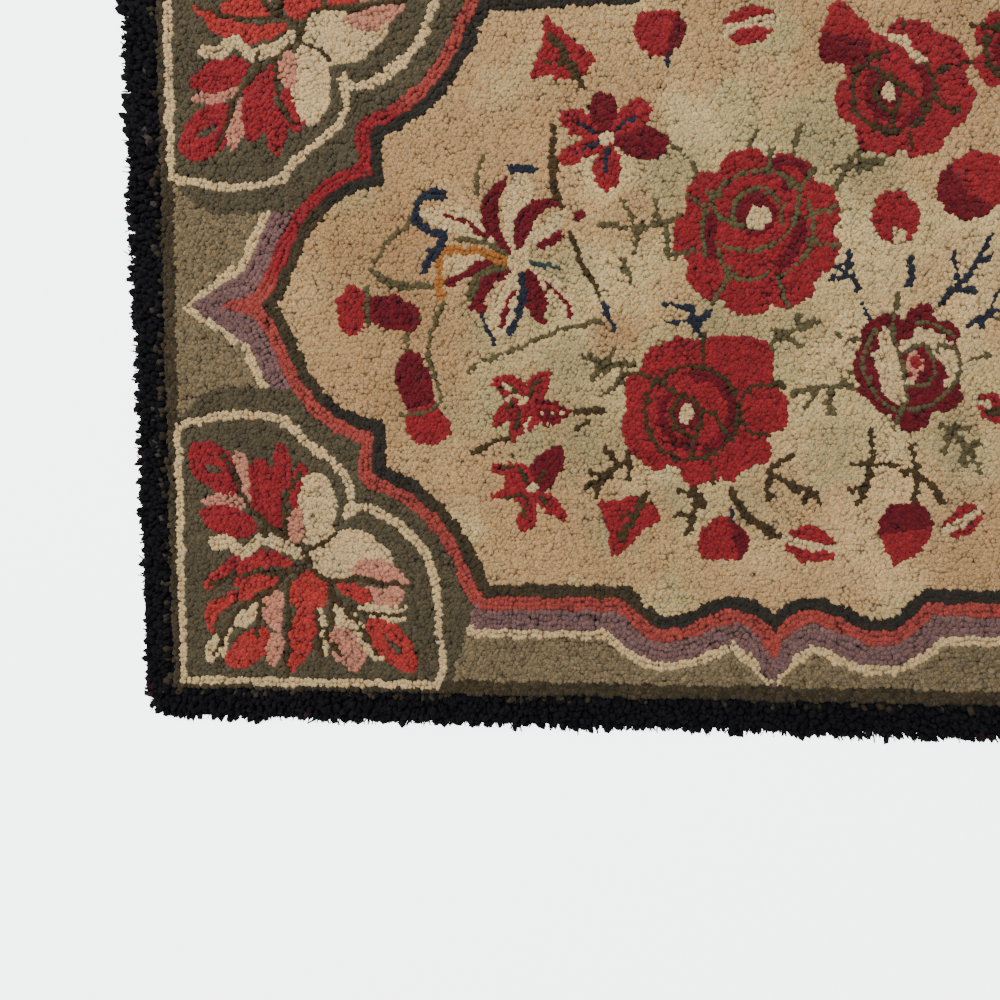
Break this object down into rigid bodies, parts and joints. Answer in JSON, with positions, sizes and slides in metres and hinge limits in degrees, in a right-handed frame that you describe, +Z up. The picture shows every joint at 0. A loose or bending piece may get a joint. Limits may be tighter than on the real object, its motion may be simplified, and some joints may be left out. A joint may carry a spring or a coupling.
{
  "type": "hooked rug",
  "caption": "Rectangular hooked wool rug with a scrolled border, floral field and a black shag edge, lying flat.",
  "frame": {"origin": "on the floor, under the middle of the rug", "axes": "+X along the rug's length, +Y along its width, +Z up out of the pile"},
  "size_m": [1.14, 0.76, 0.0123],
  "materials": {
    "hooked_wool": "matt looped wool pile in beige, red, mauve, cream, olive, brown and navy",
    "black_shag": "matt black cut wool pile, lumpy, with frayed locks at its rim"
  },
  "bodies": {
    "root": {"hooked_panel": "hooked_wool", "shag_front": "black_shag", "shag_right": "black_shag", "shag_back": "black_shag", "shag_left": "black_shag"}
  },
  "joints": []
}
